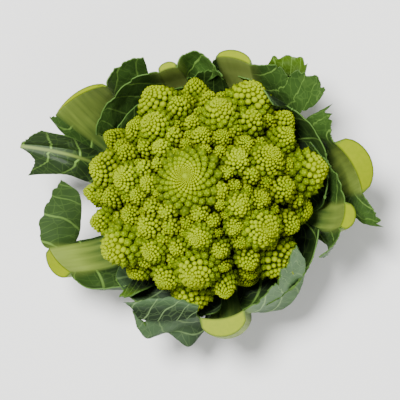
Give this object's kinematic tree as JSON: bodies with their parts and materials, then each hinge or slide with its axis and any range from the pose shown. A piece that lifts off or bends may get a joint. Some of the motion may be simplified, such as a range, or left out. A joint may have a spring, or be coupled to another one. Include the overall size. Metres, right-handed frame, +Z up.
{
  "type": "romanesco head",
  "caption": "Trimmed romanesco head: spiral green curd on a cut stem, cupped by cropped blue-green leaves, standing on its stem.",
  "frame": {"origin": "centre of the stem's cut foot, on the surface that the head stands on", "axes": "+Z up the stem to the curd's tip, and +X to the right in the picture"},
  "size_m": [0.2427, 0.1925, 0.133],
  "materials": {
    "curd": "fresh matt plant tissue, yellow-green",
    "stem": "fresh plant tissue, pale green with a moist cut face",
    "leaf": "fresh leaf with a thin waxy bloom, dark blue-green"
  },
  "bodies": {
    "root": {"curd": "curd", "stem": "stem", "leaf_1": "leaf", "leaf_2": "leaf", "leaf_3": "leaf", "leaf_4": "leaf", "leaf_5": "leaf", "leaf_6": "leaf", "leaf_7": "leaf", "leaf_8": "leaf"}
  },
  "joints": []
}
